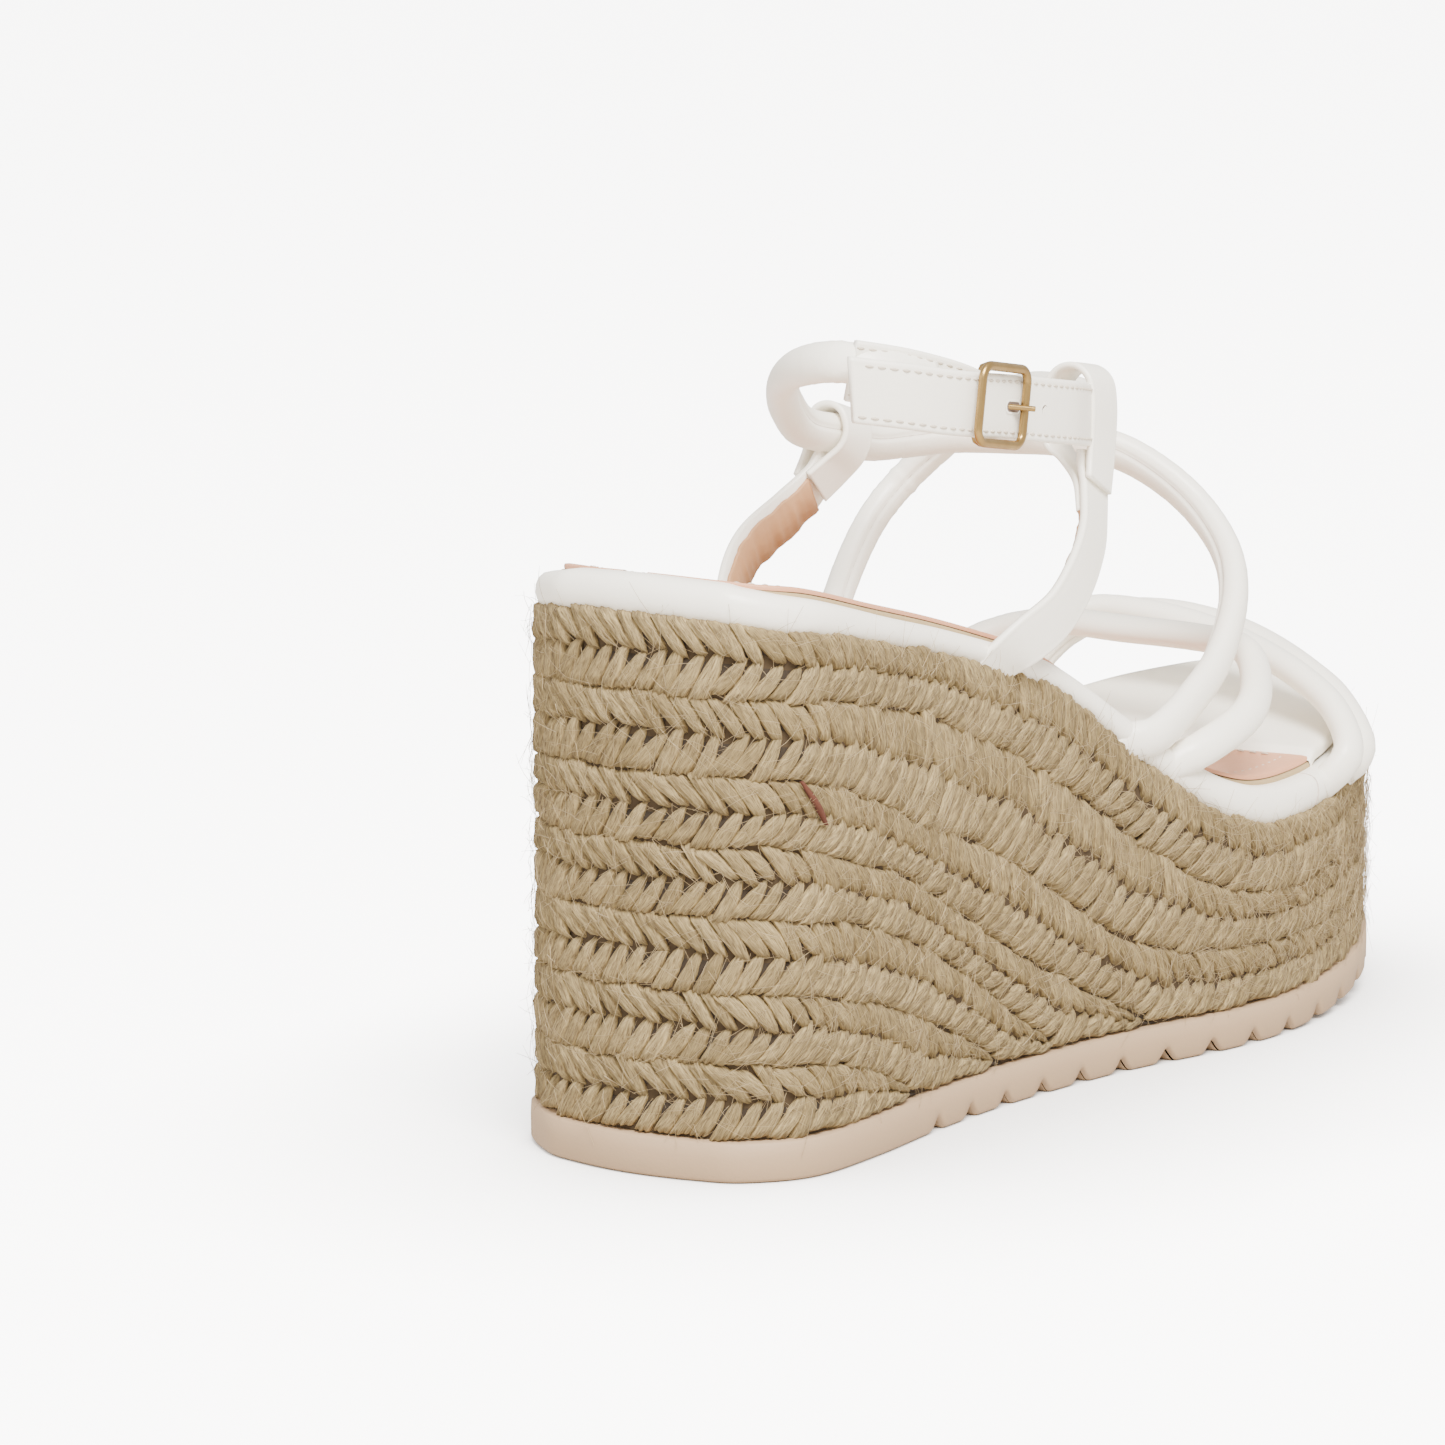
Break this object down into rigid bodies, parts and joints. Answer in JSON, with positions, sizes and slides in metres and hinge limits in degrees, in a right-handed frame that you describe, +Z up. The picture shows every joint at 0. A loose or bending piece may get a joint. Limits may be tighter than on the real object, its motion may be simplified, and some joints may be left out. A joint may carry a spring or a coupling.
{
  "type": "wedge sandal",
  "caption": "Strappy platform wedge sandal with a braided wedge, tubular straps and a buckled ankle strap.",
  "frame": {"origin": "on the ground under the middle of the heel", "axes": "+X from heel to toe, +Y to the inner side of the foot, +Z up"},
  "size_m": [0.236, 0.0942, 0.1442],
  "materials": {
    "jute": "braided jute",
    "rubber": "matte",
    "core": "cork wedge",
    "leather": "smooth satin",
    "lining": "soft matte",
    "sock": "soft satin",
    "board": "pressed fibre board",
    "foam": "foam",
    "brass": "brushed antique"
  },
  "bodies": {
    "shoe": {"outsole": "rubber", "wedge_core": "core", "braid_row_1": "jute", "braid_row_2": "jute", "braid_row_3": "jute", "braid_row_4": "jute", "braid_row_5": "jute", "braid_row_6": "jute", "braid_row_7": "jute", "platform_rim": "leather", "footbed_pad": "foam", "insole_board": "board", "sock_lining": "sock", "toe_cover": "leather", "side_strap_outer": "leather", "side_strap_outer_lining": "lining", "side_strap_inner": "leather", "side_strap_inner_lining": "lining", "keeper_loop_outer": "leather", "keeper_loop_inner": "leather", "instep_tube": "leather", "ankle_tube": "leather", "hole_strap": "leather", "buckle_tab": "leather", "vamp_tube": "leather", "toe_tube_rear": "leather", "toe_tube_front": "leather"},
    "buckle": {"buckle_frame": "brass"},
    "prong": {"buckle_prong": "brass"}
  },
  "joints": [
    {"name": "buckle_hinge", "type": "hinge", "parent": "shoe", "child": "buckle", "pos_m": [0.0372, -0.0308, 0.1309], "axis": [0.1724, 0, 0.985], "range_deg": [0, 80], "deforming": ["hole_strap"]},
    {"name": "prong_hinge", "type": "hinge", "parent": "buckle", "child": "prong", "pos_m": [0.0372, -0.0308, 0.1309], "axis": [-0.1724, 0, -0.985], "range_deg": [0, 80], "deforming": ["hole_strap"]}
  ]
}
